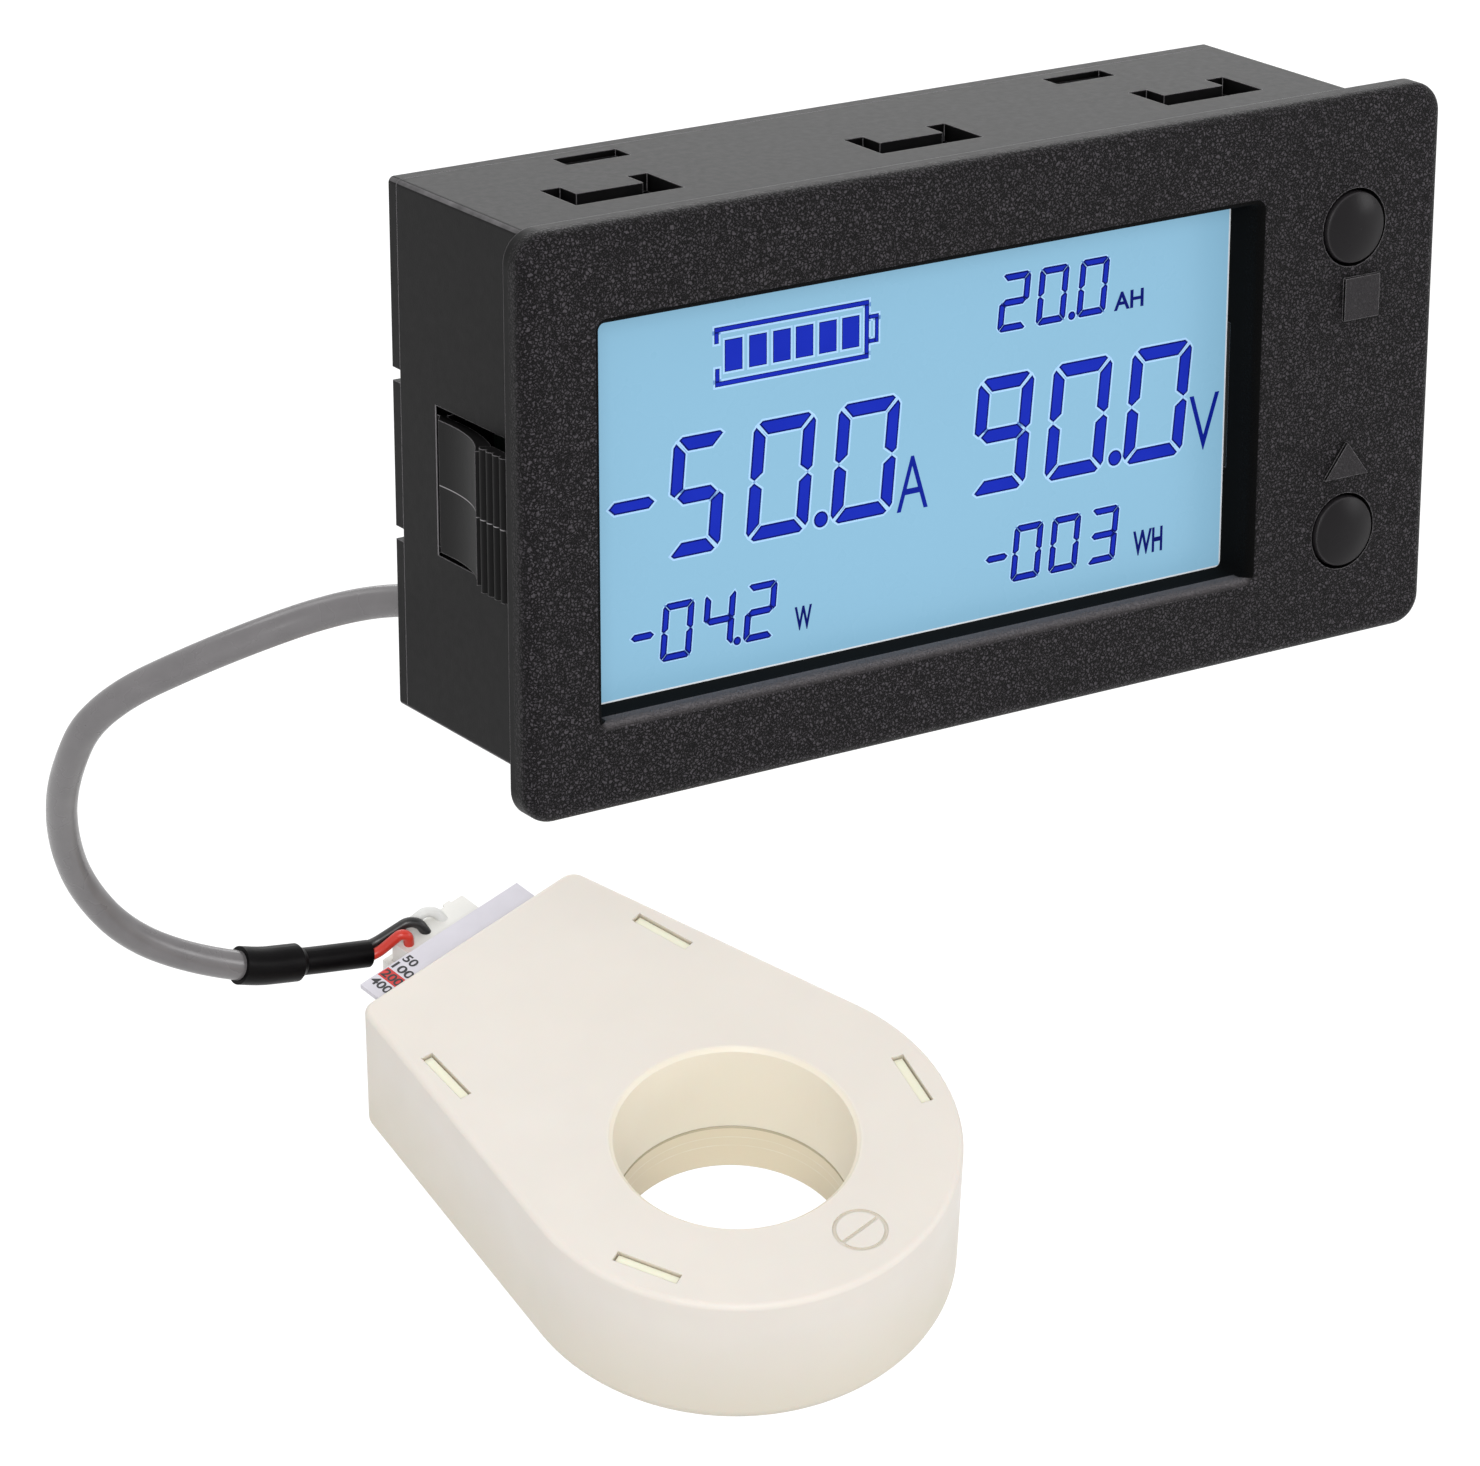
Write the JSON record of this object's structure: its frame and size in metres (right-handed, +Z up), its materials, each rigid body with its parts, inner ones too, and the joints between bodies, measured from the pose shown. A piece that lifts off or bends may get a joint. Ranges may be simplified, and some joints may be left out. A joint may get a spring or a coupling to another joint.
{
  "type": "battery monitor",
  "caption": "Panel battery monitor with a recessed display, push buttons and side clips, wired by a short lead to a ring-shaped current sensor.",
  "frame": {"origin": "centre of the panel cut-out, on the panel seat, which is the rear face of the front frame", "axes": "+Y goes through the panel to the back of the meter, +Z is up, +X is right seen from the front"},
  "size_m": [0.0993, 0.0807, 0.1195],
  "materials": {
    "black_case": "fine-grained moulded finish, satin black",
    "black_button": "smooth, slightly glossy dark grey",
    "display_film": "clear front film",
    "display_cell": "backlit pale blue display",
    "light_guide": "polished clear acrylic, white backed",
    "white_holder": "moulded off-white",
    "circuit_board": "green solder mask",
    "chip_black": "moulded epoxy",
    "tinned_pin": "tinned",
    "can_metal": "drawn can",
    "switch_black": "moulded",
    "plunger_cream": "moulded",
    "terminal_green": "moulded green",
    "screw_steel": "plated, slotted",
    "clamp_metal": "plated",
    "contact_brass": "bare",
    "rubber_black": "soft black",
    "lead_grey": "smooth grey jacket",
    "shrink_black": "satin shrink sleeve",
    "wire_red": "smooth insulation",
    "wire_black": "smooth insulation",
    "wire_white": "smooth insulation",
    "plug_white": "moulded white nylon",
    "sensor_ivory": "smooth ivory",
    "sensor_base_ivory": "smooth ivory, slightly yellower",
    "core_steel": "coated magnetic core",
    "strip_paper": "pale printed strip"
  },
  "bodies": {
    "meter_and_sensor": {"front_housing": "black_case", "rear_cover": "black_case", "lcd_front_film": "display_film", "lcd_glass": "display_cell", "lcd_holder": "white_holder", "backlight_guide": "light_guide", "lcd_pins": "tinned_pin", "main_board": "circuit_board", "microcontroller": "chip_black", "voltage_regulator": "chip_black", "memory_chip": "chip_black", "filter_capacitors": "can_metal", "lead_header": "plug_white", "push_switch_upper": "switch_black", "push_switch_lower": "switch_black", "terminal_header": "terminal_green", "terminal_plug": "terminal_green", "terminal_contacts": "contact_brass", "lead_grommet": "rubber_black", "sensor_lead": "lead_grey", "shrink_sleeve": "shrink_black", "thin_sleeve": "shrink_black", "wire_red": "wire_red", "wire_black": "wire_black", "wire_white": "wire_white", "plug_housing": "plug_white", "sensor_header": "plug_white", "sensor_housing": "sensor_ivory", "sensor_base": "sensor_base_ivory", "magnetic_core": "core_steel", "hall_element": "chip_black", "sensor_board": "circuit_board", "amplifier_chip": "chip_black", "sensor_trimmers": "switch_black", "range_strip": "strip_paper"},
    "upper_button": {"button_cap_upper": "black_button", "switch_plunger_upper": "plunger_cream"},
    "lower_button": {"button_cap_lower": "black_button", "switch_plunger_lower": "plunger_cream"},
    "left_clip": {"clip_left": "black_case"},
    "right_clip": {"clip_right": "black_case"},
    "screw_1": {"terminal_screw_1": "screw_steel"},
    "screw_2": {"terminal_screw_2": "screw_steel"},
    "clamp_1": {"wire_clamp_1": "clamp_metal"},
    "clamp_2": {"wire_clamp_2": "clamp_metal"}
  },
  "joints": [
    {"name": "upper_button_press", "type": "slide", "parent": "meter_and_sensor", "child": "upper_button", "axis": [0, 1, 0], "range_m": [0, 0.0005], "stiffness_N_per_m": 2000, "springref_m": -0.0002},
    {"name": "lower_button_press", "type": "slide", "parent": "meter_and_sensor", "child": "lower_button", "axis": [0, 1, 0], "range_m": [0, 0.0005], "stiffness_N_per_m": 2000, "springref_m": -0.0002},
    {"name": "left_clip_flex", "type": "hinge", "parent": "meter_and_sensor", "child": "left_clip", "pos_m": [-0.0402, 0.0172, -0.0012], "axis": [0, 0, 1], "range_deg": [0, 9], "stiffness_Nm_per_rad": 0.2, "springref_deg": -1.72},
    {"name": "right_clip_flex", "type": "hinge", "parent": "meter_and_sensor", "child": "right_clip", "pos_m": [0.0402, 0.0172, -0.0012], "axis": [0, 0, -1], "range_deg": [0, 9], "stiffness_Nm_per_rad": 0.2, "springref_deg": -1.72},
    {"name": "terminal_screw_1_turn", "type": "hinge", "parent": "meter_and_sensor", "child": "screw_1", "pos_m": [0.01766, 0.0269, 0.0026], "axis": [0, 0, -1], "range_deg": [0, 720.1]},
    {"name": "wire_clamp_1_rise", "type": "slide", "parent": "meter_and_sensor", "child": "clamp_1", "axis": [0, 0, 1], "range_m": [0, 0.001]},
    {"name": "terminal_screw_2_turn", "type": "hinge", "parent": "meter_and_sensor", "child": "screw_2", "pos_m": [0.02274, 0.0269, 0.0026], "axis": [0, 0, -1], "range_deg": [0, 720.1]},
    {"name": "wire_clamp_2_rise", "type": "slide", "parent": "meter_and_sensor", "child": "clamp_2", "axis": [0, 0, 1], "range_m": [0, 0.001]}
  ],
  "couplings": [
    {"joint": "terminal_screw_1_turn", "follows": "wire_clamp_1_rise", "rad_per_m": 12566},
    {"joint": "terminal_screw_2_turn", "follows": "wire_clamp_2_rise", "rad_per_m": 12566}
  ]
}
